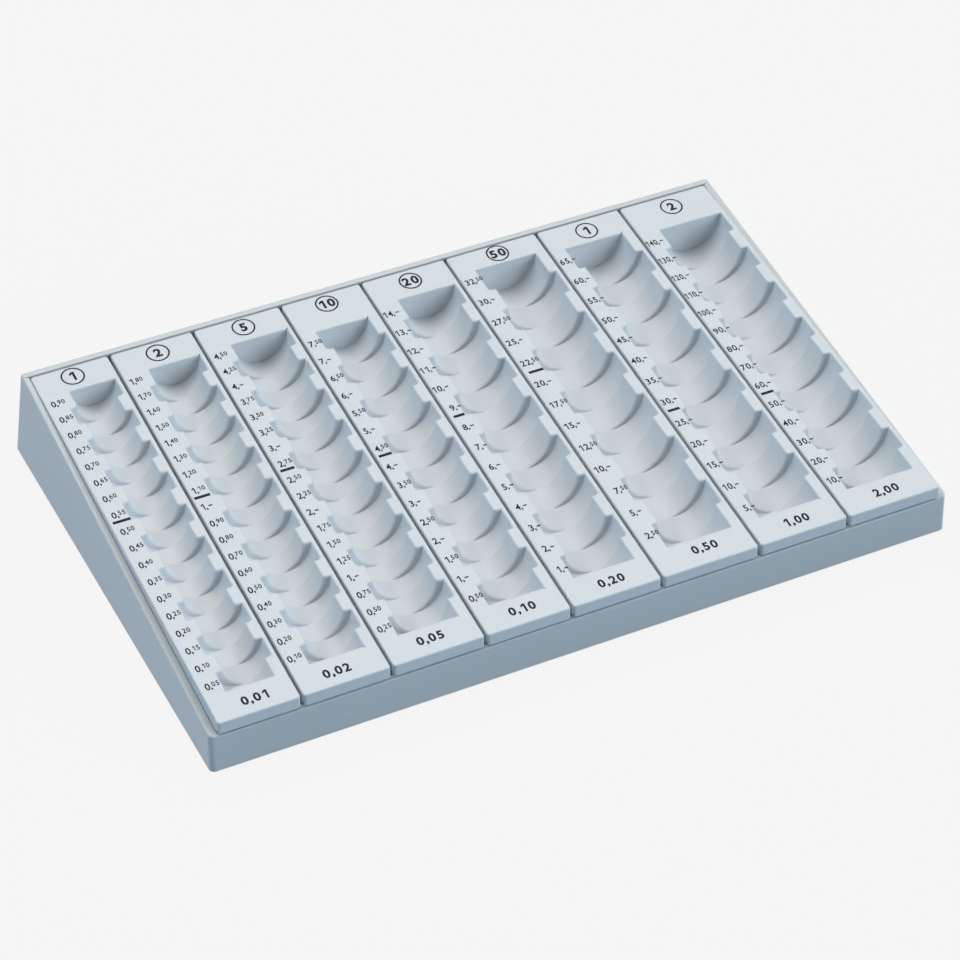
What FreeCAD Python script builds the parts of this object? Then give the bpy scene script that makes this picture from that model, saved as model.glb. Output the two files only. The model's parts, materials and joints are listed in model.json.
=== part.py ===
import FreeCAD, Part
import math
import os

# Manual coin counting tray: a wedge-shaped moulded tray that carries eight separate coin inserts at a
# slope. Millimetres and degrees. +X is to the user's right, +Y to the rear (uphill), +Z up. The origin
# is on the table, under the middle of the tray's footprint.
# A second frame, the deck frame, lies in the sloping top of the inserts: x is the same, s runs uphill
# from the front edge of the deck, and n stands square on the deck.

V = FreeCAD.Vector

# ---------------------------------------------------------------- driving dimensions: the base tray
base_width = 294.4            # over the bottom edge of the side walls
base_depth = 200.0            # over the bottom edge of the front and back walls
front_wall_height = 15.5      # bottom edge to the top of the front wall
front_rim_height = 16.5       # bottom edge to the front end of the side rims
back_rim_height = 44.8        # bottom edge to the top of the back rim
back_rim_setback = 14.0       # the back wall leans forward by this much
side_rim_inset = 1.2          # each side wall leans inward by this much, up to the height of the back rim
front_edge_chamfer = 0.4      # of the front wall's top edge
front_corner_radius = 2.2
back_corner_radius = 1.0
rim_edge_chamfer = 0.4
rim_crest = 0.7               # outer face of a side wall to the top of its inward slope, chamfer included
rim_slope = 20.0              # the side rims fall towards the inserts, to lead them in
wall = 2.2                    # outer walls
floor_thickness = 2.0         # sloping floor under the inserts
well_corner_radius = 0.8

# ---------------------------------------------------------------- driving dimensions: the deck
deck_slope = 7.0              # the inserts' top against the table
deck_front_height = 21.6      # bottom edge of the tray to the front edge of the inserts' top
insert_length = 184.5         # along the slope
insert_gap = 1.5              # between neighbouring inserts
side_clearance = 0.4          # outer inserts to the side walls
back_clearance = 0.45         # inserts to the back wall
lip_clearance = 0.75          # front lip to the top of the front wall

# ---------------------------------------------------------------- driving dimensions: the inserts
skin = 1.6                    # moulded wall of an insert
skirt_depth = 15.6            # deck to the lower edge of the skirts, which stand on the tray's floor
insert_corner_radius = 1.2
insert_edge_chamfer = 0.4
coins_per_pocket = 5
coin_play = 1.75              # channel diameter over coin diameter
pocket_stagger = 2.8          # each pocket is shifted sideways against the next by this much
right_margin = 1.6            # channel to the right edge of the insert
pocket_sides = 12             # flat sides that stand for the round of one pocket, to keep the model light
channel_front = 12.8          # front edge of the deck to the channel
front_end_slant = 3.0         # draft of the channel's front wall against the square of the deck
pocket_lean = 8.0             # lean of the steps and of the back wall, so that coins stand nearly upright

# name, coin diameter, coin thickness, pockets, margin for the value scale, play of a pocket's five coins
denominations = [
    ("insert_1_cent", 16.25, 1.67, 18, 8.0, 0.48),
    ("insert_2_cent", 18.75, 1.67, 18, 7.5, 0.46),
    ("insert_5_cent", 21.25, 1.67, 18, 7.2, 0.48),
    ("insert_10_cent", 19.75, 1.93, 15, 6.4, 0.54),
    ("insert_20_cent", 22.25, 2.14, 14, 6.2, 0.53),
    ("insert_50_cent", 24.25, 2.38, 13, 7.8, 0.49),
    ("insert_1_euro", 23.25, 2.33, 13, 6.0, 0.55),
    ("insert_2_euro", 25.75, 2.20, 14, 6.0, 0.02),
]

# ---------------------------------------------------------------- driving dimensions: inside the tray
locating_rib_width = 0.9      # stands on the floor between two inserts
locating_rib_height = 4.0
locating_rib_margin = 18.0    # from the ends of the well
stiffener = 1.6               # ribs under the floor
stiffener_height = 4.0        # of the shallow ribs
shallow_rib_x = 42.0          # a pair of shallow lengthwise ribs
beam_setback = 1.0            # the two deep ribs end this far above the bottom edge
foot_x = 126.0                # the deep lengthwise ribs run over the feet
foot_inset_front = 22.0
foot_inset_rear = 26.0
foot_radius = 5.0
foot_height = 2.5
foot_projection = 1.0         # below the bottom edge
foot_fit = 0.1
foot_pad_radius = 8.0
foot_pad_thickness = 3.2

# ---------------------------------------------------------------- worked out
y_front = -base_depth / 2
y_back = base_depth / 2
z_edge = foot_projection                           # bottom edge of the tray, over the table
z_deck = z_edge + deck_front_height                # front edge of the deck
sin_deck = math.sin(math.radians(deck_slope))
cos_deck = math.cos(math.radians(deck_slope))
rim_rise = (back_rim_height - front_rim_height) / (base_depth - back_rim_setback)
reach = 400.0                                      # larger than the tray, for cutting volumes


def coin_channel_radius(coin_diameter):
    return (coin_diameter + coin_play) / 2


def insert_width(coin_diameter, margin):
    return margin + coin_diameter + coin_play + pocket_stagger + right_margin


def field_width():
    widths = [insert_width(diameter, margin) for _, diameter, _, _, margin, _ in denominations]
    return sum(widths) + insert_gap * (len(widths) - 1)


def deck_point(y, z):
    """A point of the tray's side view, as (s, n) in the deck frame."""
    dy = y - y_front
    dz = z - z_deck
    return (dy * cos_deck + dz * sin_deck, dz * cos_deck - dy * sin_deck)


def rim_height(y):
    """Height of the sloping rim over the table."""
    return z_edge + front_rim_height + rim_rise * (y - y_front)


def front_wall_top(y):
    """Height of the front wall's top over the table; it is parallel to the rim."""
    return rim_height(y) - front_rim_height + front_wall_height


def well_half_width():
    return field_width() / 2 + side_clearance


def on_deck(shape, x=0.0):
    """Carries a shape from the deck frame to its place on the slope."""
    placed = shape.copy()
    placed.Placement = FreeCAD.Placement(
        V(x, y_front, z_deck), FreeCAD.Rotation(V(1, 0, 0), deck_slope))
    return placed


def side_prism(points, x0, x1):
    """A side profile, given as (y, z) points, swept from x0 to x1."""
    corners = [V(x0, y, z) for y, z in points]
    face = Part.Face(Part.makePolygon(corners + corners[:1]))
    return face.extrude(V(x1 - x0, 0, 0))


def front_prism(points, y0, y1):
    """A front profile, given as (x, z) points, swept from y0 to y1."""
    corners = [V(x, y0, z) for x, z in points]
    face = Part.Face(Part.makePolygon(corners + corners[:1]))
    return face.extrude(V(0, y1 - y0, 0))


def edges_where(shape, test):
    """Edges of which both ends and the middle pass a test."""
    chosen = []
    for edge in shape.Edges:
        first, last = edge.ParameterRange
        points = [edge.valueAt(first + (last - first) * t) for t in (0.0, 0.5, 1.0)]
        if all(test(point) for point in points):
            chosen.append(edge)
    return chosen


# ---------------------------------------------------------------- base tray

def back_wall_y(z, inward=0.0):
    """The leaning back wall, seen from the side."""
    lean = back_rim_setback / back_rim_height
    return y_back - lean * (z - z_edge) - inward * math.hypot(1, lean)


def side_wall_x(z, inward=0.0):
    """The drafted side wall, seen from the front."""
    draft = side_rim_inset / back_rim_height
    return base_width / 2 - draft * (z - z_edge) - inward * math.hypot(1, draft)


def wedge(inward, z_low, z_front, z_rear):
    """The tray's outer form, or the same form with its four walls moved inward."""
    y0 = y_front + inward
    side = side_prism(
        [(y0, z_low), (back_wall_y(z_low, inward), z_low), (back_wall_y(z_rear, inward), z_rear), (y0, z_front)],
        -reach, reach)
    z_high = z_rear + wall
    x_low = side_wall_x(z_low, inward)
    x_high = side_wall_x(z_high, inward)
    front = front_prism([(-x_low, z_low), (x_low, z_low), (x_high, z_high), (-x_high, z_high)], -reach, reach)
    return side.common(front)


def outer_form():
    """The wedge with rounded upright corners and a rounded rim."""
    z_rear = z_edge + back_rim_height
    form = wedge(0.0, z_edge, rim_height(y_front), z_rear)

    def upright(at_front):
        return lambda edge: (abs(edge.CenterOfMass.x) > base_width / 2 - wall
                             and abs(edge.Vertexes[0].Z - edge.Vertexes[-1].Z) > front_rim_height / 2
                             and abs(edge.Vertexes[0].X - edge.Vertexes[-1].X) < wall
                             and abs(edge.Vertexes[0].Y - edge.Vertexes[-1].Y) < base_depth / 2
                             and (edge.CenterOfMass.y < 0) == at_front)

    form = form.makeFillet(front_corner_radius, [e for e in form.Edges if upright(True)(e)])
    form = form.makeFillet(back_corner_radius, [e for e in form.Edges if upright(False)(e)])
    rim = edges_where(form, lambda p: abs(p.z - rim_height(p.y)) < 0.01 and p.y > y_front + 0.01)
    return form.makeChamfer(rim_edge_chamfer, rim)


def well():
    """The space for the inserts: straight walls square on the deck, with an upright front."""
    floor_n = -skirt_depth
    back_s = insert_length + back_clearance
    front_y = y_front + wall
    low_front = deck_point(front_y, z_deck + floor_n)
    high_n = reach / 10
    high_front = deck_point(front_y, z_deck + high_n)
    profile = [(low_front[0], floor_n), (back_s, floor_n), (back_s, high_n), (high_front[0], high_n)]
    half = well_half_width()
    space = side_prism(profile, -half, half)
    corners = edges_where(space, lambda p: abs(abs(p.x) - half) < 0.01)
    corners = [e for e in corners if abs(e.Vertexes[0].Z - e.Vertexes[-1].Z) > skirt_depth]
    return on_deck(space.makeFillet(well_corner_radius, corners))


def above(point, normal):
    """A large block that stands on a plane."""
    block = Part.makeBox(2 * reach, 2 * reach, reach, V(-reach, -reach, 0))
    block.Placement = FreeCAD.Placement(point, FreeCAD.Rotation(V(0, 0, 1), normal))
    return block


def crest_point(side, y):
    z = rim_height(y)
    return V(side * (side_wall_x(z) - rim_crest), y, z)


def lead_in():
    """The space over the inward slopes of the side rims and over the front wall."""
    space = above(V(0, y_front, front_wall_top(y_front)), V(0, -rim_rise, 1))
    fall = math.radians(rim_slope)
    for side in (-1, 1):
        along = crest_point(side, y_back) - crest_point(side, y_front)
        inward = V(-side * math.cos(fall), 0, -math.sin(fall))
        space = space.common(above(crest_point(side, y_front), along.cross(inward) * side))
    back_s = insert_length + back_clearance
    to_back_wall = [(-reach, -reach), (back_s, -reach), (back_s, reach), (-reach, reach)]
    return space.common(on_deck(side_prism(to_back_wall, -reach, reach)))


def underside(gap=0.0):
    """The hollow under the sloping floor, inside the four outer walls; or only what lies a gap below it."""
    hollow = wedge(wall, z_edge - 1, z_deck + reach / 10, z_deck + reach / 10)
    top = -skirt_depth - floor_thickness - gap
    below = side_prism([(-reach, -reach), (reach, -reach), (reach, top), (-reach, top)], -reach, reach)
    return hollow.common(on_deck(below))


def foot_places():
    rows = [("front", y_front + foot_inset_front), ("rear", y_back - foot_inset_rear)]
    sides = [("left", -foot_x), ("right", foot_x)]
    return [("foot_%s_%s" % (row, side), x, y) for row, y in rows for side, x in sides]


def stiffening(hollow):
    """Two deep ribs that carry the round pads of the feet, and a shallow grid under the floor."""
    z0 = z_edge + beam_setback
    height = z_deck + reach / 10
    beams = [Part.makeBox(stiffener, base_depth, height, V(x - stiffener / 2, y_front, z0))
             for x in (-foot_x, foot_x)]
    for _, x, y in foot_places():
        beams.append(Part.makeCylinder(foot_pad_radius, foot_pad_thickness, V(x, y, z_edge)))
        arm = 2 * foot_pad_radius
        beams.append(Part.makeBox(arm, stiffener, height, V(x - arm / 2, y - stiffener / 2, z_edge)))
    y_rows = sorted({y for _, _, y in foot_places()})
    y_rows.append(sum(y_rows) / len(y_rows))
    grid = [Part.makeBox(base_width, stiffener, height, V(-base_width / 2, y - stiffener / 2, z0))
            for y in y_rows]
    grid += [Part.makeBox(stiffener, base_depth, height, V(x - stiffener / 2, y_front, z0))
             for x in (-shallow_rib_x, shallow_rib_x)]
    shallow = grid[0].multiFuse(grid[1:]).cut(underside(stiffener_height))
    return beams[0].multiFuse(beams[1:] + [shallow]).common(hollow)


def insert_left_edges():
    """Left edge of each insert, from the left of the tray to the right."""
    x = -field_width() / 2
    edges = []
    for _, diameter, _, _, margin, _ in denominations:
        edges.append(x)
        x += insert_width(diameter, margin) + insert_gap
    return edges


def locating_ribs():
    """Low ribs on the floor that keep each insert in its own place."""
    sunk = floor_thickness / 2
    length = insert_length - 2 * locating_rib_margin
    ribs = []
    for x in insert_left_edges()[1:]:
        corner = V(x - (insert_gap + locating_rib_width) / 2, locating_rib_margin, -skirt_depth - sunk)
        ribs.append(on_deck(Part.makeBox(locating_rib_width, length, locating_rib_height + sunk, corner)))
    return ribs


def base_tray():
    hollow = underside()
    tray = outer_form().cut([well(), lead_in()])
    front_edge = edges_where(
        tray, lambda p: abs(p.y - y_front) < 0.01 and abs(p.z - front_wall_top(y_front)) < 0.01)
    tray = tray.makeChamfer(front_edge_chamfer, front_edge)
    tray = tray.cut(hollow).multiFuse([stiffening(hollow)] + locating_ribs())
    seats = [Part.makeCylinder(foot_radius + foot_fit, foot_height, V(x, y, 0)) for _, x, y in foot_places()]
    return tray.cut(seats).removeSplitter()


# ---------------------------------------------------------------- rubber feet

def foot(x, y):
    """A plain rubber disc, pressed up against the end of its round seat."""
    return Part.makeCylinder(foot_radius, foot_height, V(x, y, 0))


# ---------------------------------------------------------------- coin inserts

def insert_blank(width):
    """Outer form of an insert, with a front lip that hangs over the tray's front wall."""
    lip_front = deck_point(y_front, front_wall_top(y_front) + lip_clearance)
    wall_top = deck_point(y_front + wall, front_wall_top(y_front + wall))
    step_s = wall_top[0] + back_clearance
    step_n = wall_top[1] + lip_clearance
    profile = [(0, 0), (insert_length, 0), (insert_length, -skirt_depth), (step_s, -skirt_depth),
               (step_s, step_n), lip_front]
    blank = side_prism(profile, 0, width)
    ends = [e for e in blank.Edges
            if min(v.Z for v in e.Vertexes) < -skin and max(v.Z for v in e.Vertexes) > -0.01]
    blank = blank.makeFillet(insert_corner_radius, ends)
    blank = blank.makeChamfer(insert_edge_chamfer, edges_where(blank, lambda p: p.z > -0.01))
    room = side_prism([(step_s + skin, -skirt_depth - 1), (insert_length - skin, -skirt_depth - 1),
                       (insert_length - skin, -skin), (skin, -skin), (skin, step_n + skin),
                       (step_s + skin, step_n + skin)], skin, width - skin)
    return blank, room


def channel_ends(s0, s1, depth, grow):
    """Side view of a channel between its slanted end walls, or of the skin around it."""
    above = depth
    front = math.tan(math.radians(front_end_slant))
    back = math.tan(math.radians(pocket_lean))
    return [(s0 - grow - front * above, above), (s1 + grow + back * above, above),
            (s1 + grow - back * 2 * depth, -2 * depth), (s0 - grow + front * 2 * depth, -2 * depth)]


def pocket_profile(x, radius):
    """Front view of one half-round pocket, open above the deck."""
    angles = [math.pi * (1 + side / pocket_sides) for side in range(pocket_sides + 1)]
    round_part = [(x + radius * math.cos(a), radius * math.sin(a)) for a in angles]
    return round_part + [(x + radius, 1), (x - radius, 1)]


def leaning_slab(start, end, depth, width):
    """The space between two leaning planes that cross the deck at start and end."""
    top, bottom = depth, -2 * depth
    lean = math.tan(math.radians(pocket_lean))
    return side_prism([(start + lean * top, top), (end + lean * top, top),
                       (end + lean * bottom, bottom), (start + lean * bottom, bottom)], -width, 2 * width)


def stepped_channel(x_mid, s0, pitch, count, radius, width):
    """Half-round pockets in a row, shifted left and right in turn; the front one is to the left."""
    pockets = []
    for index in range(count):
        shift = -pocket_stagger / 2 if index % 2 == 0 else pocket_stagger / 2
        start = s0 + index * pitch
        end = start + pitch
        if index == 0:
            start -= radius
        if index == count - 1:
            end += radius
        pocket = front_prism(pocket_profile(x_mid + shift, radius), start - radius, end + radius)
        pockets.append(pocket.common(leaning_slab(start, end, radius, width)))
    row = pockets[0].multiFuse(pockets[1:])
    ends = side_prism(channel_ends(s0, s0 + count * pitch, radius, 0.0), -width, 2 * width)
    return row.common(ends)


def keel(x_mid, s0, s1, radius, width):
    """The underside of the channel: one smooth trough with the skin's thickness around both rows."""
    outer = radius + skin
    half = pocket_stagger / 2
    left = Part.makeCylinder(outer, s1 - s0 + 4 * outer, V(x_mid - half, s0 - 2 * outer, 0), V(0, 1, 0))
    right = Part.makeCylinder(outer, s1 - s0 + 4 * outer, V(x_mid + half, s0 - 2 * outer, 0), V(0, 1, 0))
    middle = Part.makeBox(2 * half, s1 - s0 + 4 * outer, outer, V(x_mid - half, s0 - 2 * outer, -outer))
    ends = side_prism(channel_ends(s0, s1, outer, skin), -width, 2 * width)
    return left.multiFuse([middle, right]).common(ends)


def coin_insert(diameter, thickness, count, margin, play):
    """One insert in the deck frame: a thin moulding, open below, around its stepped channel."""
    width = insert_width(diameter, margin)
    radius = coin_channel_radius(diameter)
    pitch = coins_per_pocket * thickness + play
    x_mid = margin + radius + pocket_stagger / 2
    s1 = channel_front + count * pitch
    blank, room = insert_blank(width)
    room = room.cut(keel(x_mid, channel_front, s1, radius, width))
    channel = stepped_channel(x_mid, channel_front, pitch, count, radius, width)
    return blank.cut(room).cut(channel)


# ---------------------------------------------------------------- output

def save(name, shape):
    solids = shape.Solids
    if len(solids) != 1 or not shape.isValid():
        raise RuntimeError("%s: %d solids, valid %s" % (name, len(solids), shape.isValid()))
    solids[0].exportStep("parts/%s.step" % name)
    box = shape.BoundBox
    print("%-18s volume %9.1f  x %7.2f %7.2f  y %7.2f %7.2f  z %6.2f %6.2f" % (
        name, shape.Volume, box.XMin, box.XMax, box.YMin, box.YMax, box.ZMin, box.ZMax))


def main():
    os.makedirs("parts", exist_ok=True)
    save("base_tray", base_tray())
    for name, x, y in foot_places():
        save(name, foot(x, y))
    for x, (name, diameter, thickness, count, margin, play) in zip(insert_left_edges(), denominations):
        save(name, on_deck(coin_insert(diameter, thickness, count, margin, play), x))


main()
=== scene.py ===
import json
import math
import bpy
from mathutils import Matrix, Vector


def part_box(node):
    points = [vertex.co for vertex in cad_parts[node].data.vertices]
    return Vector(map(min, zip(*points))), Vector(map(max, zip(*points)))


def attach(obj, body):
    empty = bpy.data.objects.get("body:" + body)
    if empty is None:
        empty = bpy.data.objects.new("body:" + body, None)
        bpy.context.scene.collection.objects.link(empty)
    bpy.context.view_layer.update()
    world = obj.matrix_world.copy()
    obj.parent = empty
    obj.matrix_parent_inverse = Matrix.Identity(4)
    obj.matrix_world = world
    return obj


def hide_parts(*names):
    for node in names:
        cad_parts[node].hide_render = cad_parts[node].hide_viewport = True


bl_info = {
    "name": "Coin counting tray",
    "version": (1, 0, 0),
    "blender": (4, 5, 0),
    "location": "3D View > Sidebar > Coin Tray",
    "description": "Moulds the coin inserts, prints their scales and finishes the tray and its feet",
    "category": "Object",
}

from collections import namedtuple

import bmesh
import bpy
from bpy.props import FloatProperty, FloatVectorProperty, IntProperty, PointerProperty
from bpy.types import Operator, Panel, PropertyGroup
from mathutils import Matrix, Vector

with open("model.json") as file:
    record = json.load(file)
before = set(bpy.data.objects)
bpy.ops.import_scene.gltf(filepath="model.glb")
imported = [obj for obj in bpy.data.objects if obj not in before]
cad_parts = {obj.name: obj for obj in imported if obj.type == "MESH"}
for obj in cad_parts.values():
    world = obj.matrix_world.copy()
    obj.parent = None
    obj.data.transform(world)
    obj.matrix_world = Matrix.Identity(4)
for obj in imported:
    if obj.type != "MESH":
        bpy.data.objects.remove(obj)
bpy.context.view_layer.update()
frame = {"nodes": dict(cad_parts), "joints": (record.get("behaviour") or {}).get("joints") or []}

# Settings are in metres. Meshes are shaped in millimetres and scaled by MM when they are put in place.
MM = 0.001

# The deck frame: x to the right, s uphill along the sloping top of the inserts, n square on it.
# The inserts lift out square to the deck, so their joints give its slope.
lift_axis = Vector(frame["joints"][0]["axis"])
DECK_SLOPE = math.atan2(-lift_axis.y, lift_axis.z)
FRONT_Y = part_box("base_tray")[0].y

# One coin insert. Millimetres in the deck frame, with x and s from the insert's own front left corner.
Insert = namedtuple("Insert", [
    "name",                        # as in the names of its node and its body
    "cents",                       # value of one coin
    "diameter", "thickness",       # of the coin
    "pockets", "play",             # how many pockets, and the play of a pocket's five coins
    "comma",                       # x of the decimal comma of the printed values
    "first", "last",               # s of the middle of the lowest and of the highest printed value
    "bar",                         # x of its two ends and s of the bar that marks a full roll
    "plate",                       # x and s of the middle of the large number at the front
    "ring",                        # x and s of the middle of the ring at the back
])
INSERTS = [
    Insert("1_cent", 1, 16.25, 1.67, 18, 0.48, 4.2, 16.85, 167.5,
           (1.1, 7.9, 101.9), (16.1, 6.1), (14.8, 179.0)),
    Insert("2_cent", 2, 18.75, 1.67, 18, 0.46, 3.2, 17.2, 167.4,
           (0.6, 6.8, 101.9), (14.7, 6.1), (16.8, 178.5)),
    Insert("5_cent", 5, 21.25, 1.67, 18, 0.48, 3.65, 17.5, 167.8,
           (0.8, 6.4, 102.5), (16.9, 7.0), (18.1, 179.0)),
    Insert("10_cent", 10, 19.75, 1.93, 15, 0.54, 3.25, 17.95, 160.1,
           (0.9, 6.1, 95.3), (16.4, 6.8), (16.6, 178.8)),
    Insert("20_cent", 20, 22.25, 2.14, 14, 0.53, 4.15, 18.25, 164.0,
           (1.3, 5.8, 103.3), (17.7, 6.3), (17.9, 178.2)),
    Insert("50_cent", 50, 24.25, 2.38, 13, 0.49, 5.1, 20.55, 168.4,
           (1.5, 7.6, 113.7), (20.1, 7.6), (20.0, 179.5)),
    Insert("1_euro", 100, 23.25, 2.33, 13, 0.55, 4.8, 18.75, 164.8,
           (0.8, 5.7, 74.6), (17.6, 6.3), (18.7, 177.9)),
    Insert("2_euro", 200, 25.75, 2.20, 14, 0.02, 4.9, 18.7, 161.2,
           (0.7, 5.9, 68.9), (18.7, 6.6), (19.7, 177.8)),
]
COINS_PER_POCKET = 5

# Widths of printed signs, in parts of the width of a printed 0.
FIGURE_ADVANCE = 1.18          # from one figure to the next
SIGN_SPACE = 0.16              # beside a comma or a dash

# Tolerances for picking geometry by its place, in millimetres.
NEAR = 1e-3
CLOSE = 1e-4
BELOW_DECK = -0.01

SHARP_ANGLE = math.radians(40)
FLOOR_REACH = 6.0              # metres from the middle of the floor to its edges

# One soft lamp: its bearing from +Y towards +X, height and apparent width in degrees, and W/m2 face on.
Lamp = namedtuple("Lamp", ["name", "bearing", "height", "width", "power", "colour"])
LAMPS = [
    Lamp("back", 0, 70, 50, 1.57, (1.0, 0.99, 0.96)),
    Lamp("back right", 60, 52, 45, 0.63, (1.0, 0.99, 0.96)),
    Lamp("back left", 300, 52, 45, 0.35, (1.0, 0.99, 0.96)),
    Lamp("front right", 135, 18, 40, 1.93, (0.79, 0.92, 1.0)),
    Lamp("left", 270, 18, 40, 0.98, (0.56, 0.80, 1.0)),
]


# ---------------------------------------------------------------- settings

def length(name, description, default):
    return FloatProperty(name=name, description=description, default=default, unit="LENGTH", precision=5)


def angle(name, description, degrees):
    return FloatProperty(name=name, description=description, default=math.radians(degrees), subtype="ANGLE")


def colour(name, description, *default):
    return FloatVectorProperty(name=name, description=description, default=default, subtype="COLOR")


class InsertSettings(PropertyGroup):
    deck_front: length("Deck height", "Front edge of the deck over the table", 0.0226)
    deck_length: length("Deck length", "Along the slope", 0.1845)
    skirt: length("Skirt", "Deck to the lower edge of the skirts", 0.0156)
    lip_height: length("Lip height", "Of the front lip, which hangs over the tray's front wall", 0.00535)
    lip_reach: length("Lip reach", "From the lip's face back to the front skirt", 0.00265)
    skin: length("Wall", "Thickness of the moulded wall", 0.0012)
    swell: length("Swell", "How far the skirts stand out to each side of the plain solid", 0.00020)
    corner_round: length("Corner radius", "Of the upright corners", 0.0012)
    edge_round: length("Edge radius", "Of the edges round the deck", 0.00060)
    lip_round: length("Lip radius", "Of the lower edge of the front lip", 0.00090)
    mouth_round: length("Mouth radius", "Of the edge between deck and channel", 0.0007)
    coin_play: length("Coin play", "Channel diameter over coin diameter", 0.00175)
    stagger: length("Stagger", "Sideways shift of each pocket against the next", 0.0028)
    right_margin: length("Right margin", "Channel to the right edge of the insert", 0.0016)
    channel_front: length("Channel start", "Front edge of the deck to the channel", 0.0128)
    step_foot: length("Step foot radius", "Of the hollow edge of the step between two pockets", 0.0002)
    step_head: length("Step head radius", "Of the outer edge of that step", 0.0012)
    step_angle: angle("Step angle", "Of the step's face against the channel", 84)
    front_slant: angle("Front slant", "Of the channel's front wall", 3)
    lean: angle("Lean", "Of the steps and the back wall, so that coins stand nearly upright", 8)
    round_sides: IntProperty(name="Channel segments", description="Over the half-round of the channel",
                             default=30)
    plastic: colour("Plastic", "Pale grey plastic of the inserts", 0.632, 0.666, 0.700)


class PrintSettings(PropertyGroup):
    value_height: length("Value height", "Of the whole part of a printed value", 0.00322)
    value_width: length("Value width", "Of one of its figures", 0.00182)
    raised_height: length("Raised height", "Of the raised decimals", 0.00230)
    raised_width: length("Raised width", "Of one of the raised figures", 0.00128)
    plate_height: length("Plate height", "Of the large number at the front", 0.0040)
    ring_radius: length("Ring radius", "Of the ring at the back", 0.0046)
    ring_line: length("Ring line", "Width of its line", 0.00065)
    bar_width: length("Bar width", "Of the bar that marks a full roll", 0.00130)
    thickness: length("Ink thickness", "Of the ink over the deck", 0.00002)
    ink: colour("Ink", "Dark printing ink", 0.012, 0.013, 0.016)


class TraySettings(PropertyGroup):
    edge_round: length("Edge radius", "Softens the tray's moulded edges", 0.00025)
    plastic: colour("Plastic", "Grey plastic of the tray", 0.560, 0.590, 0.605)
    rubber: colour("Rubber", "Rubber of the feet", 0.022, 0.022, 0.024)


class StageSettings(PropertyGroup):
    camera_x: length("Camera x", "Place of the camera", -0.41089)
    camera_y: length("Camera y", "Place of the camera", -0.88506)
    camera_z: length("Camera z", "Place of the camera", 0.80219)
    azimuth: angle("Azimuth", "Direction of view, from +Y towards +X", 25.070)
    tilt: angle("Tilt", "How far the camera looks down", 39.266)
    roll: angle("Roll", "How far the camera's right side drops", 0.804)
    lens: FloatProperty(name="Lens", description="Focal length on a sensor 36 mm wide", default=124.87)
    floor: colour("Floor", "What the floor throws back on to the tray", 0.18, 0.30, 0.44)
    backdrop: colour("Backdrop", "Floor and background as they are seen", 1.0, 0.99, 0.98)
    whiteness: FloatProperty(name="Whiteness", description="How far the seen floor is pulled to the backdrop",
                             default=0.90, subtype="FACTOR")
    light: FloatProperty(name="Light", description="Strength of all the lamps together", default=1.0)


# ---------------------------------------------------------------- shader maths

class Level:
    """A value socket that takes part in Python expressions; each operator adds its Math node."""

    def __init__(self, paint, socket):
        self.paint = paint
        self.socket = socket

    def math(self, operation, first, second):
        return self.paint.value("ShaderNodeMath", {"operation": operation}, [first, second])

    def __add__(self, other):
        return self.math("ADD", self, other)

    def __mul__(self, other):
        return self.math("MULTIPLY", self, other)

    __radd__ = __add__
    __rmul__ = __mul__


class Paint:
    """The node tree of a material or of the world."""

    def __init__(self, owner):
        self.owner = owner
        owner.use_nodes = True
        self.tree = owner.node_tree
        self.tree.nodes.clear()

    def node(self, kind, settings=None, inputs=None):
        """Adds a node, sets its settings and then its sockets, by name or in order."""
        node = self.tree.nodes.new(kind)
        for name, setting in (settings or {}).items():
            setattr(node, name, setting)
        pairs = enumerate(inputs) if isinstance(inputs, list) else (inputs or {}).items()
        for key, value in pairs:
            value = value.socket if isinstance(value, Level) else value
            if isinstance(value, bpy.types.NodeSocket):
                self.tree.links.new(value, node.inputs[key])
            else:
                node.inputs[key].default_value = value
        return node

    def value(self, kind, settings=None, inputs=None, output=0):
        return Level(self, self.node(kind, settings, inputs).outputs[output])

    def noise(self, scale, detail=2.0, roughness=0.5):
        place = self.node("ShaderNodeTexCoord").outputs["Object"]
        return self.value("ShaderNodeTexNoise", None, {
            "Vector": place, "Scale": scale, "Detail": detail, "Roughness": roughness})

    def between(self, level, low, high):
        """0 below low, 1 above high, and a smooth rise between them."""
        return self.value("ShaderNodeMapRange", {"interpolation_type": "SMOOTHSTEP"}, {
            "Value": level, "From Min": low, "From Max": high})

    def mix(self, level, first, second):
        return self.node("ShaderNodeMix", {"data_type": "RGBA"}, {0: level, 6: first, 7: second}).outputs[2]

    def bump(self, height, distance):
        return self.node("ShaderNodeBump", None, {"Height": height, "Distance": distance}).outputs[0]

    def finish(self, sockets):
        """Closes the material with a Principled shader."""
        shader = self.node("ShaderNodeBsdfPrincipled", None, sockets)
        self.node("ShaderNodeOutputMaterial", None, {"Surface": shader.outputs[0]})
        return self.owner


def new_paint(name):
    return Paint(bpy.data.materials.new(name))


def shade(colour, factor=1.0):
    """A colour made lighter or darker, with its alpha."""
    return (*(min(1.0, part * factor) for part in colour), 1.0)


def insert_plastic(colour):
    """Smooth satin plastic with a faint cloudiness and fine rub marks from the coins."""
    paint = new_paint("insert plastic")
    clouds = paint.noise(22.0, 3.0)
    rubbing = paint.between(paint.noise(70.0, 4.0, 0.6), 0.45, 0.75)
    grain = paint.noise(2600.0, 2.0)
    return paint.finish({
        "Base Color": paint.mix(clouds, shade(colour, 0.985), shade(colour, 1.012)),
        "Roughness": 0.36 + 0.10 * rubbing + 0.05 * grain,
        "Normal": paint.bump(grain, 0.000010),
        "Specular IOR Level": 0.45,
    })


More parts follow.
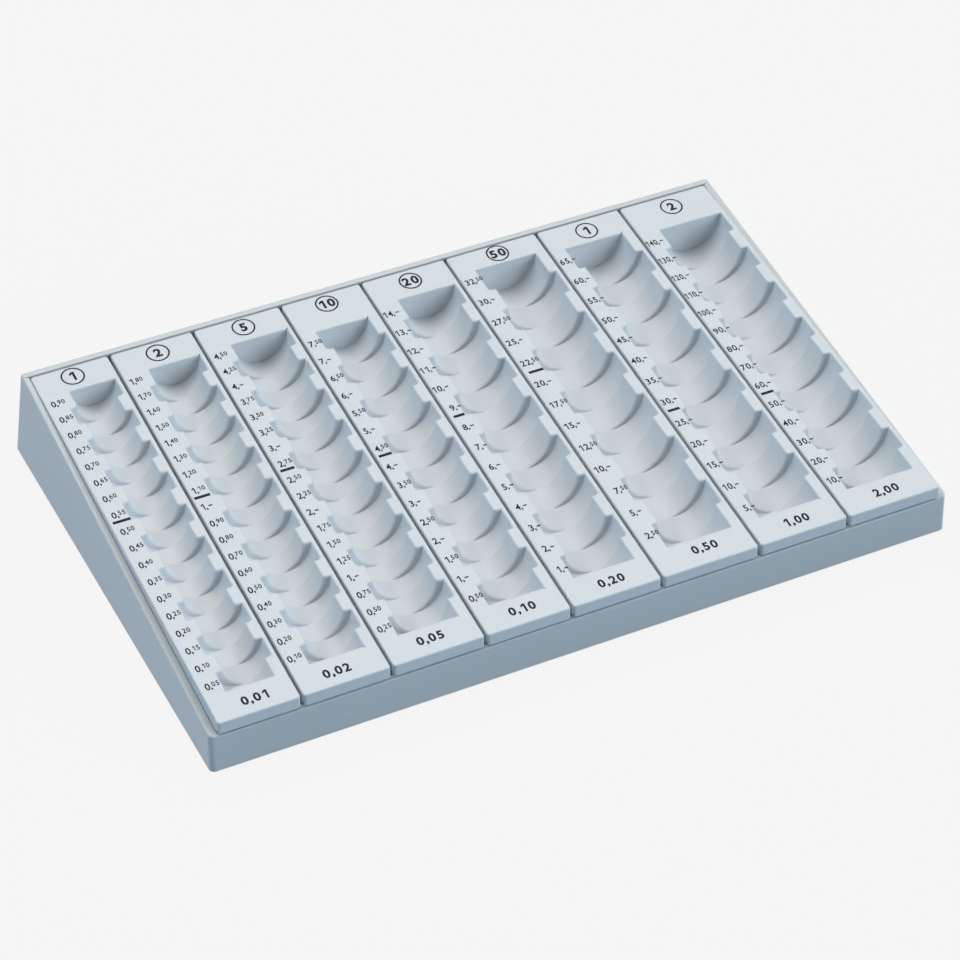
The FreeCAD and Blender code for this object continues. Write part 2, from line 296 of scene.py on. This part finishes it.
def tray_plastic(colour):
    """Fine-grained moulded plastic."""
    paint = new_paint("tray plastic")
    clouds = paint.noise(14.0, 3.0)
    fine = paint.noise(2200.0, 3.0, 0.6)
    coarse = paint.noise(700.0, 2.0)
    return paint.finish({
        "Base Color": paint.mix(clouds, shade(colour, 0.975), shade(colour, 1.02)),
        "Roughness": 0.38 + 0.10 * fine,
        "Normal": paint.bump(fine + 0.5 * coarse, 0.000020),
        "Specular IOR Level": 0.50,
    })


def foot_rubber(colour):
    """Matt rubber with a fine grain."""
    paint = new_paint("foot rubber")
    grain = paint.noise(1800.0, 3.0, 0.6)
    return paint.finish({
        "Base Color": paint.mix(grain, shade(colour, 0.85), shade(colour, 1.25)),
        "Roughness": 0.72 + 0.15 * grain,
        "Normal": paint.bump(grain, 0.000030),
    })


def printing_ink(ink, plastic):
    """Dark ink, thinner in places, so that a little of the plastic shows through."""
    paint = new_paint("printing ink")
    thin = paint.between(paint.noise(900.0, 3.0, 0.65), 0.52, 0.80)
    return paint.finish({
        "Base Color": paint.mix(0.08 * thin, shade(ink), shade(plastic)),
        "Roughness": 0.58 + 0.15 * thin,
        "Specular IOR Level": 0.12,
    })


# ---------------------------------------------------------------- helpers for meshes

def insert_place(insert, sizes):
    """From an insert's own deck frame, in millimetres, to its place on the slope, in metres."""
    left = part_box("insert_" + insert.name)[0].x
    return (Matrix.Translation((left, FRONT_Y, sizes.deck_front)) @ Matrix.Rotation(DECK_SLOPE, 4, "X")
            @ Matrix.Scale(MM, 4))


def insert_width(insert):
    low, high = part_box("insert_" + insert.name)
    return (high.x - low.x) / MM


def put_in_order(bm):
    """Orders edges and faces by their vertices. Some operators leave them in another order each run."""
    bm.verts.index_update()
    for elements in (bm.edges, bm.faces):
        ordered = sorted(elements, key=lambda element: sorted(vert.index for vert in element.verts))
        for index, element in enumerate(ordered):
            element.index = index
        elements.sort()


def make_piece(bm, name, place, material):
    """Turns a bmesh into an object at the origin, with its place in its mesh."""
    put_in_order(bm)
    bmesh.ops.transform(bm, matrix=place, verts=bm.verts)
    mesh = bpy.data.meshes.new(name)
    bm.to_mesh(mesh)
    bm.free()
    mesh.materials.append(material)
    piece = bpy.data.objects.new(name, mesh)
    bpy.context.scene.collection.objects.link(piece)
    return piece


def vertices_of(geometry):
    return [part for part in geometry if isinstance(part, bmesh.types.BMVert)]


def round_edges(bm, edges, radius, segments):
    bmesh.ops.bevel(bm, geom=edges, offset=radius, offset_type="OFFSET", affect="EDGES", segments=segments,
                    profile=0.5, material=-1, clamp_overlap=True)


# ---------------------------------------------------------------- the moulding of one insert

def step_profile(rise, foot_radius, head_radius, steepness, segments):
    """A step of a given rise with a tight foot and a soft head, as (run, rise) points from its foot."""
    turns = [steepness * turn / segments for turn in range(segments + 1)]
    foot, head = [[(radius * math.sin(turn), radius * (1 - math.cos(turn))) for turn in turns]
                  for radius in (foot_radius, head_radius)]
    run = foot[-1][0] + head[-1][0] + (rise - foot[-1][1] - head[-1][1]) / math.tan(steepness)
    return foot + [(run - along, rise - up) for along, up in reversed(head)]


class Moulding:
    """Shapes one coin insert in its deck frame, in millimetres."""

    lip_segments = 5
    step_segments = 5
    corner_segments = 6
    edge_segments = 4
    merge_distance = 0.005
    decimals = 4                # the last digits of a rounded edge can differ from run to run

    def __init__(self, insert, sizes):
        self.sizes = sizes
        self.width = insert_width(insert)
        self.radius = (insert.diameter + self.mm("coin_play")) / 2
        self.sway = self.mm("stagger") / 2
        self.axis = self.width - self.mm("right_margin") - self.sway - self.radius
        self.front = self.mm("channel_front")
        self.pockets = insert.pockets
        self.pitch = COINS_PER_POCKET * insert.thickness + insert.play
        self.back = self.front + self.pockets * self.pitch
        self.lip = self.mm("mouth_round")
        self.half = math.sqrt(self.radius ** 2 - self.lip ** 2)
        self.bm = bmesh.new()
        self.across = self.bm.verts.layers.float.new("across")
        self.recess = self.bm.verts.layers.float.new("recess")

    def mm(self, name):
        return getattr(self.sizes, name) / MM

    def body(self):
        """The plain moulding: its side view drawn across the width, rounded, open above and below."""
        bm = self.bm
        long, skirt = self.mm("deck_length"), -self.mm("skirt")
        lip_s = -self.mm("lip_height") * math.sin(DECK_SLOPE)
        lip_n = -self.mm("lip_height") * math.cos(DECK_SLOPE)
        step_s = lip_s + self.mm("lip_reach")
        profile = [(0, 0), (long, 0), (long, skirt), (step_s, skirt), (step_s, lip_n), (lip_s, lip_n)]
        swell = self.mm("swell")
        side = bm.faces.new([bm.verts.new((-swell, s, n)) for s, n in profile])
        made = bmesh.ops.extrude_face_region(bm, geom=[side])
        bmesh.ops.translate(bm, verts=vertices_of(made["geom"]), vec=(self.width + 2 * swell, 0, 0))
        bmesh.ops.recalc_face_normals(bm, faces=bm.faces)

        def spans(edge, s_low, s_high):
            low, high = sorted(edge.verts, key=lambda v: v.co.z)
            return high.co.z > BELOW_DECK > low.co.z and s_low < low.co.y < s_high

        corners = [e for e in bm.edges if spans(e, lip_s - 1, 1) or spans(e, long - 1, long + 1)]
        round_edges(bm, corners, self.mm("corner_round"), self.corner_segments)
        top = [e for e in bm.edges if all(v.co.z > BELOW_DECK for v in e.verts)]
        round_edges(bm, top, self.mm("edge_round"), self.edge_segments)
        lower = [e for e in bm.edges if all(abs(v.co.z - lip_n) < NEAR for v in e.verts)
                 and any(v.co.y < step_s - NEAR for v in e.verts)]
        round_edges(bm, lower, self.mm("lip_round"), self.edge_segments)
        bm.normal_update()
        openings = [f for f in bm.faces if abs(f.normal.z) > 0.999
                    and not skirt + NEAR <= f.calc_center_median().z <= -NEAR]
        bmesh.ops.delete(bm, geom=openings, context="FACES_ONLY")
        bmesh.ops.bisect_plane(bm, geom=bm.verts[:] + bm.edges[:] + bm.faces[:], dist=CLOSE,
                               plane_co=(self.axis, 0, 0), plane_no=(1, 0, 0))
        for vert in bm.verts:
            vert.co = [round(value, self.decimals) for value in vert.co]
        put_in_order(bm)

    def arc(self, start, centre, turn, steps):
        """Draws an arc from a vertex, in the plane of a cross-section, and returns its last vertex."""
        made = bmesh.ops.spin(self.bm, geom=[start], cent=(centre[0], start.co.y, centre[1]), axis=(0, 1, 0),
                              angle=turn, steps=steps, use_merge=False, use_duplicate=False)
        return vertices_of(made["geom_last"])[0]

    def cross_section(self):
        """The half-round of the channel with a small round lip at each side; returns its edges."""
        before = set(self.bm.verts)
        dip = math.asin(self.lip / self.radius)
        left = self.bm.verts.new((self.axis - self.half, self.front, -self.lip))
        right = self.arc(left, (self.axis, 0), -(math.pi - 2 * dip), self.sizes.round_sides)
        self.arc(left, (self.axis - self.half - self.lip, -self.lip), -math.pi / 2, self.lip_segments)
        self.arc(right, (self.axis + self.half + self.lip, -self.lip), math.pi / 2, self.lip_segments)
        verts = [v for v in self.bm.verts if v not in before]
        for vert in verts:
            across = vert.co.x - self.axis
            vert[self.across] = across
            vert[self.recess] = math.copysign(max(0.0, abs(vert[self.across]) - self.half), across)
        return verts, [e for v in verts for e in v.link_edges if v == e.verts[0]]

    def stations(self):
        """Along the channel: place, sideways shift, and whether a step goes right (1), left (-1) or not."""
        shift = -self.sway
        foot = self.mm("step_foot")
        for index in range(1, self.pockets):
            way = -math.copysign(1, shift)
            for run, rise in step_profile(2 * self.sway, foot, self.mm("step_head"), self.sizes.step_angle,
                                          self.step_segments):
                yield self.front + index * self.pitch - foot + run, shift + way * rise, way
            shift = -shift

    def settle(self, verts, s, shift, way):
        """Moves a cross-section to its place, leaning. Its lips keep clear of a step by their own width."""
        for vert in verts:
            vert.co.x = self.axis + vert[self.across] + shift
            vert.co.y = s - way * vert[self.recess] + vert.co.z * math.tan(self.sizes.lean)

    def settle_end(self, verts, s, shift, way, slant):
        """Moves the first or the last cross-section on to the slanted end wall."""
        for vert in verts:
            vert.co.x = self.axis + vert[self.across] + shift
            vert.co.y = s + way * (min(vert.co.z, -self.lip) * math.tan(slant) + abs(vert[self.recess]))

    def sweep(self, edges):
        """Extrudes a chain of edges in place and returns the new vertices and edges."""
        made = bmesh.ops.extrude_edge_only(self.bm, edges=edges)
        verts = vertices_of(made["geom"])
        chosen = set(verts)
        edges = [e for e in made["geom"] if isinstance(e, bmesh.types.BMEdge) and chosen.issuperset(e.verts)]
        return verts, edges

    def end_wall(self, edges, s, shift, way, slant):
        """The slanted wall that closes the channel, rounded over into the deck."""
        wall = [e for e in edges if all(abs(v[self.recess]) < 1e-6 for v in e.verts)]
        top = s - way * self.lip * math.tan(slant)
        for level in range(self.lip_segments + 1):
            turn = math.pi / 2 * level / self.lip_segments
            back = self.lip * (1 - math.cos(turn))
            verts, wall = self.sweep(wall)
            for vert in verts:
                across = vert[self.across]
                outer = math.copysign(back, across) if abs(across) > self.half - CLOSE else 0
                vert.co = (self.axis + shift + across + outer, top + way * back,
                           -self.lip + self.lip * math.sin(turn))

    def channel(self):
        """The row of staggered pockets, from the front wall to the back wall."""
        first = -self.sway
        last = self.sway if self.pockets % 2 == 0 else -self.sway
        verts, edges = self.cross_section()
        self.settle_end(verts, self.front, first, -1, self.sizes.front_slant)
        front_edges = edges
        for s, shift, way in self.stations():
            verts, edges = self.sweep(edges)
            self.settle(verts, s, shift, way)
        verts, edges = self.sweep(edges)
        self.settle_end(verts, self.back, last, 1, self.sizes.lean)
        self.end_wall(edges, self.back, last, 1, self.sizes.lean)
        self.end_wall(front_edges, self.front, first, -1, self.sizes.front_slant)
        put_in_order(self.bm)
        bmesh.ops.remove_doubles(self.bm, verts=self.bm.verts, dist=self.merge_distance)
        put_in_order(self.bm)

    def deck(self):
        """Fills the flat top round the mouth of the channel, in a left and a right half."""
        rims = [e for e in self.bm.edges if e.is_boundary and all(abs(v.co.z) < NEAR for v in e.verts)]
        mouth = [e for e in rims if any(v[self.across] for v in e.verts)]
        outline = [e for e in rims if e not in mouth]
        middles = [v for v in {v for e in mouth for v in e.verts} if abs(v[self.across]) < CLOSE]
        splits = [v for v in {v for e in outline for v in e.verts} if abs(v.co.x - self.axis) < CLOSE]
        for verts in (middles, splits):
            verts.sort(key=lambda vert: vert.co.y)
        seams = [self.bm.edges.new(pair) for pair in zip(middles, splits)]
        for side in (-1, 1):
            half = [e for e in mouth if sum(v[self.across] for v in e.verts) * side > 0]
            half += [e for e in outline if sum(v.co.x - self.axis for v in e.verts) * side > 0]
            bmesh.ops.contextual_create(self.bm, geom=half + seams)

    def finished(self):
        self.body()
        self.channel()
        self.deck()
        bmesh.ops.recalc_face_normals(self.bm, faces=self.bm.faces)
        for face in self.bm.faces:
            face.smooth = True
        for edge in self.bm.edges:
            edge.smooth = edge.is_manifold and edge.calc_face_angle() < SHARP_ANGLE
        layers = self.bm.verts.layers.float
        for name in ("across", "recess"):
            layers.remove(layers[name])
        return self.bm


def mould_insert(insert, sizes, plastic):
    piece = make_piece(Moulding(insert, sizes).finished(), "moulded_insert_" + insert.name,
                       insert_place(insert, sizes), plastic)
    wall = piece.modifiers.new("wall", "SOLIDIFY")
    wall.thickness = sizes.skin
    wall.offset = -1
    shading = piece.modifiers.new("shading", "WEIGHTED_NORMAL")
    shading.keep_sharp = True
    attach(piece, insert.name + "_insert")
    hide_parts("insert_" + insert.name)
    return piece


# ---------------------------------------------------------------- print

def lettering(text, weight):
    """The outline of a text as a flat mesh; weight fattens its strokes."""
    curve = bpy.data.curves.new("lettering", "FONT")
    curve.body = text
    curve.offset = weight
    curve.resolution_u = 3
    curve.extrude = 0.5
    holder = bpy.data.objects.new("lettering", curve)
    mesh = bpy.data.meshes.new_from_object(holder)
    bpy.data.objects.remove(holder)
    bpy.data.curves.remove(curve)
    return mesh


def figure_one(low, high, weight):
    """The figure 1 as a flat mesh: a stem, with a flag drawn out of its upper left."""
    thin_stroke, flag_height, flag_reach = 0.085, 1.15, (-0.19, -0.14, 0)
    bm = bmesh.new()
    middle = (low + high) / 2
    stroke = thin_stroke + 2 * weight
    place = Matrix.Translation((0, middle, 0)) @ Matrix.Diagonal((stroke, high - low, 1, 1))
    bmesh.ops.create_grid(bm, x_segments=1, y_segments=2, size=0.5, matrix=place)
    cut = [v for v in bm.verts if abs(v.co.y - middle) < CLOSE]
    bmesh.ops.translate(bm, verts=cut, vec=(0, (high - low) / 2 - flag_height * stroke, 0))
    side = [e for e in bm.edges if all(v.co.x < 0 and v.co.y > middle for v in e.verts)]
    made = bmesh.ops.extrude_edge_only(bm, edges=side)
    bmesh.ops.translate(bm, verts=vertices_of(made["geom"]), vec=flag_reach)
    made = bmesh.ops.extrude_face_region(bm, geom=bm.faces[:])
    bmesh.ops.translate(bm, verts=vertices_of(made["geom"]), vec=(0, 0, 1))
    bmesh.ops.translate(bm, verts=bm.verts, vec=(0, 0, -0.5))
    bmesh.ops.recalc_face_normals(bm, faces=bm.faces)
    mesh = bpy.data.meshes.new("figure one")
    bm.to_mesh(mesh)
    bm.free()
    return mesh


def extent(mesh, axis):
    places = [v.co[axis] for v in mesh.vertices]
    return min(places), max(places)


class Printing:
    """Collects what is printed on one insert, in its deck frame, in millimetres."""

    # From the decimal comma of a value: back to its whole part, on to its raised decimals or to its dash.
    whole_gap, raised_gap, dash_gap = 0.20, 0.3, 0.6
    dash_width, dash_rise = 1.4, 0.15       # in parts of the width and of the height of a figure
    three_figures = 0.82                    # how far a whole part of three figures is narrowed

    def __init__(self, sizes):
        self.sizes = sizes
        self.bm = bmesh.new()
        self.ink = sizes.thickness / MM

    def mm(self, name):
        return getattr(self.sizes, name) / MM

    def write(self, text, x, s, height, figure_width=None, align=0.0, weight=0.022):
        """Prints a text with the middle of its figures at s.

        It starts at x with align 0, has its middle there with 0.5 and ends there with 1.
        """
        zero = lettering("0", weight)
        (left, right), (low, high) = extent(zero, 0), extent(zero, 1)
        bpy.data.meshes.remove(zero)
        tall = height / (high - low)
        wide = figure_width / (right - left) if figure_width else tall
        signs, pen = [], 0.0
        for letter in text:
            mesh = figure_one(low, high, weight) if letter == "1" else lettering(letter, weight)
            start, end = extent(mesh, 0)
            if letter.isdigit():
                room = FIGURE_ADVANCE * (right - left)
            else:
                room = end - start + SIGN_SPACE * (right - left)
            mesh.transform(Matrix.Translation((pen + (room - start - end) / 2, 0, 0)))
            signs.append(mesh)
            pen += room
        place = (Matrix.Translation((x, s, self.ink / 4))
                 @ Matrix.Diagonal((wide, tall, 1.5 * self.ink, 1))
                 @ Matrix.Translation((-align * pen, -(low + high) / 2, 0)))
        for mesh in signs:
            mesh.transform(place)
            self.bm.from_mesh(mesh)
            bpy.data.meshes.remove(mesh)

    def raise_flat(self, geometry):
        """Gives flat faces the thickness of the ink, a little of it sunk into the deck."""
        faces = [part for part in geometry if isinstance(part, bmesh.types.BMFace)]
        made = bmesh.ops.extrude_face_region(self.bm, geom=faces)
        bmesh.ops.translate(self.bm, verts=vertices_of(made["geom"]), vec=(0, 0, 1.5 * self.ink))
        verts = {v for face in faces for v in face.verts} | set(vertices_of(made["geom"]))
        bmesh.ops.translate(self.bm, verts=list(verts), vec=(0, 0, -self.ink / 2))
        linked = {f for v in verts for f in v.link_faces}
        bmesh.ops.recalc_face_normals(self.bm, faces=list(linked))

    def bar(self, left, right, s):
        """The bar that marks a full roll of coins."""
        place = (Matrix.Translation(((left + right) / 2, s, 0))
                 @ Matrix.Diagonal(((right - left) / 2, self.mm("bar_width") / 2, 1, 1)))
        made = bmesh.ops.create_grid(self.bm, x_segments=1, y_segments=1, size=1.0, matrix=place)
        self.raise_flat({f for v in made["verts"] for f in v.link_faces})

    def ring(self, x, s, radius, line):
        rims = []
        for reach in (radius, radius - line):
            made = bmesh.ops.create_circle(self.bm, cap_ends=False, radius=reach, segments=48,
                                           matrix=Matrix.Translation((x, s, 0)))
            rims += {e for v in made["verts"] for e in v.link_edges}
        made = bmesh.ops.bridge_loops(self.bm, edges=rims)
        self.raise_flat(made["faces"])

    def value(self, cents, comma, s):
        """A printed value: its whole part, a comma, and raised decimals or a raised dash."""
        whole, rest = divmod(cents, 100)
        tall, wide, raised = [self.mm(name) for name in ("value_height", "value_width", "raised_height")]
        narrow = self.three_figures if whole > 99 else 1.0
        self.write(str(whole), comma - self.whole_gap, s, tall, wide * narrow, align=1.0)
        self.write(",", comma, s, tall, wide, align=0.5)
        if rest:
            self.write("%02d" % rest, comma + self.raised_gap, s + (tall - raised) / 2, raised,
                       self.mm("raised_width"))
        else:
            self.write("-", comma + self.dash_gap, s + self.dash_rise * tall, tall, self.dash_width * wide)


def print_insert(insert, insert_sizes, sizes, ink):
    """The scale of values, the roll mark, the value at the front and the ring at the back."""
    printing = Printing(sizes)
    spacing = (insert.last - insert.first) / (insert.pockets - 1)
    for index in range(insert.pockets):
        cents = insert.cents * COINS_PER_POCKET * (index + 1)
        printing.value(cents, insert.comma, insert.first + index * spacing)
    printing.bar(*insert.bar)
    whole, rest = divmod(insert.cents, 100)
    printing.write("%d,%02d" % (whole, rest), *insert.plate, printing.mm("plate_height"),
                   align=0.5, weight=0.035)
    radius = printing.mm("ring_radius")
    printing.ring(*insert.ring, radius, printing.mm("ring_line"))
    printing.write(str(whole or rest), *insert.ring, radius, align=0.5, weight=0.04)
    piece = make_piece(printing.bm, "printed_scale_" + insert.name, insert_place(insert, insert_sizes), ink)
    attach(piece, insert.name + "_insert")
    return piece


# ---------------------------------------------------------------- operators

class COINTRAY_OT_inserts(Operator):
    """Mould the eight coin inserts with their staggered pockets"""
    bl_idname = "cointray.inserts"
    bl_label = "Mould the inserts"

    def execute(self, context):
        sizes = context.scene.coin_insert_settings
        plastic = insert_plastic(sizes.plastic)
        for insert in INSERTS:
            mould_insert(insert, sizes, plastic)
        return {"FINISHED"}


class COINTRAY_OT_print(Operator):
    """Print the scales of values on the inserts"""
    bl_idname = "cointray.print"
    bl_label = "Print the scales"

    def execute(self, context):
        scene = context.scene
        ink = printing_ink(scene.coin_print_settings.ink, scene.coin_insert_settings.plastic)
        for insert in INSERTS:
            print_insert(insert, scene.coin_insert_settings, scene.coin_print_settings, ink)
        return {"FINISHED"}


class COINTRAY_OT_tray(Operator):
    """Finish the base tray: soft edges and fine-grained plastic"""
    bl_idname = "cointray.tray"
    bl_label = "Finish the tray"

    def execute(self, context):
        settings = context.scene.coin_tray_settings
        tray = frame["nodes"]["base_tray"]
        tray.data.materials.clear()
        tray.data.materials.append(tray_plastic(settings.plastic))
        soften(tray, settings.edge_round)
        return {"FINISHED"}


class COINTRAY_OT_feet(Operator):
    """Finish the four rubber feet"""
    bl_idname = "cointray.feet"
    bl_label = "Finish the feet"

    def execute(self, context):
        settings = context.scene.coin_tray_settings
        rubber = foot_rubber(settings.rubber)
        for name, node in frame["nodes"].items():
            if name.startswith("foot_"):
                node.data.materials.clear()
                node.data.materials.append(rubber)
                soften(node, settings.edge_round)
        return {"FINISHED"}


def soften(piece, radius):
    """Rounds the edges of a carried-over solid without touching its mesh."""
    weld = piece.modifiers.new("weld", "WELD")
    weld.merge_threshold = 1e-6
    flat = piece.modifiers.new("flat faces", "DECIMATE")
    flat.decimate_type = "DISSOLVE"
    flat.angle_limit = math.radians(0.5)
    edges = piece.modifiers.new("soft edges", "BEVEL")
    edges.width = radius
    edges.segments = 2
    edges.limit_method = "ANGLE"
    edges.angle_limit = math.radians(30)
    edges.harden_normals = True


class COINTRAY_OT_stage(Operator):
    """Set up the floor, the lights and the camera"""
    bl_idname = "cointray.stage"
    bl_label = "Set the stage"

    def execute(self, context):
        settings = context.scene.coin_stage_settings
        place_floor(settings)
        light_sky(context.scene, settings)
        hang_lamps(settings)
        place_camera(context.scene, settings)
        context.scene.view_settings.view_transform = "Standard"
        return {"FINISHED"}


# ---------------------------------------------------------------- stage

def place_floor(settings):
    """A wide pale floor that keeps the tray's shadow."""
    bm = bmesh.new()
    bmesh.ops.create_grid(bm, x_segments=1, y_segments=1, size=FLOOR_REACH)
    paint = new_paint("pale floor")
    surface = paint.node("ShaderNodeBsdfDiffuse", None, {"Color": shade(settings.floor)})
    lit = paint.node("ShaderNodeEmission", None, {"Color": shade(settings.backdrop), "Strength": 1.0})
    seen = seen_rays(paint) * settings.whiteness
    mixed = paint.node("ShaderNodeMixShader", None, {0: seen, 1: surface.outputs[0], 2: lit.outputs[0]})
    paint.node("ShaderNodeOutputMaterial", None, {"Surface": mixed.outputs[0]})
    make_piece(bm, "floor", Matrix.Identity(4), paint.owner)


def seen_rays(paint):
    """1 for rays that show the background: those of the camera, of reflections and through clear parts."""
    rays = paint.node("ShaderNodeLightPath")
    camera, glossy, clear = [Level(paint, rays.outputs["Is %s Ray" % kind])
                             for kind in ("Camera", "Glossy", "Transmission")]
    return camera + glossy + clear


def light_sky(scene, settings):
    """A background that is seen as white, but gives no light of its own."""
    paint = Paint(bpy.data.worlds.new("studio"))
    background = paint.node("ShaderNodeBackground", None, {
        "Color": shade(settings.backdrop), "Strength": seen_rays(paint)})
    paint.node("ShaderNodeOutputWorld", None, {"Surface": background.outputs[0]})
    scene.world = paint.owner


def hang_lamps(settings):
    """The soft lamps of the studio, as wide suns so that both ends of the tray get the same light."""
    for lamp in LAMPS:
        light = bpy.data.lights.new(lamp.name, "SUN")
        light.energy = lamp.power * settings.light
        light.color = lamp.colour
        light.angle = math.radians(lamp.width)
        holder = bpy.data.objects.new(lamp.name, light)
        holder.rotation_euler = (math.radians(90 - lamp.height), 0, math.radians(180 - lamp.bearing))
        bpy.context.scene.collection.objects.link(holder)


def place_camera(scene, settings):
    lens = bpy.data.cameras.new("view")
    lens.sensor_width = 36.0
    lens.lens = settings.lens
    lens.clip_start = 0.05
    holder = bpy.data.objects.new("view", lens)
    turn = (Matrix.Rotation(-settings.azimuth, 4, "Z") @ Matrix.Rotation(math.pi / 2 - settings.tilt, 4, "X")
            @ Matrix.Rotation(-settings.roll, 4, "Z"))
    place = (settings.camera_x, settings.camera_y, settings.camera_z)
    holder.matrix_world = Matrix.Translation(place) @ turn
    scene.collection.objects.link(holder)
    scene.camera = holder


# ---------------------------------------------------------------- panel

OPERATORS = (COINTRAY_OT_inserts, COINTRAY_OT_print, COINTRAY_OT_tray, COINTRAY_OT_feet, COINTRAY_OT_stage)


class COINTRAY_PT_panel(Panel):
    """Lists the steps that dress the tray"""
    bl_idname = "COINTRAY_PT_panel"
    bl_label = "Coin Tray"
    bl_space_type = "VIEW_3D"
    bl_region_type = "UI"
    bl_category = "Coin Tray"

    def draw(self, context):
        for operator in OPERATORS:
            self.layout.operator(operator.bl_idname)
        for settings in ("insert", "print", "tray", "stage"):
            box = self.layout.box()
            group = getattr(context.scene, "coin_%s_settings" % settings)
            for name in group.__annotations__:
                box.prop(group, name)


GROUPS = {
    "coin_insert_settings": InsertSettings,
    "coin_print_settings": PrintSettings,
    "coin_tray_settings": TraySettings,
    "coin_stage_settings": StageSettings,
}


def register():
    for group in (*GROUPS.values(), *OPERATORS, COINTRAY_PT_panel):
        bpy.utils.register_class(group)
    for name, group in GROUPS.items():
        setattr(bpy.types.Scene, name, PointerProperty(type=group))


def unregister():
    for name in GROUPS:
        delattr(bpy.types.Scene, name)
    for group in (COINTRAY_PT_panel, *reversed(OPERATORS), *reversed(GROUPS.values())):
        bpy.utils.unregister_class(group)


def main():
    register()
    bpy.ops.cointray.inserts()
    bpy.ops.cointray.print()
    bpy.ops.cointray.tray()
    bpy.ops.cointray.feet()
    bpy.ops.cointray.stage()


if __name__ == "__main__":
    main()
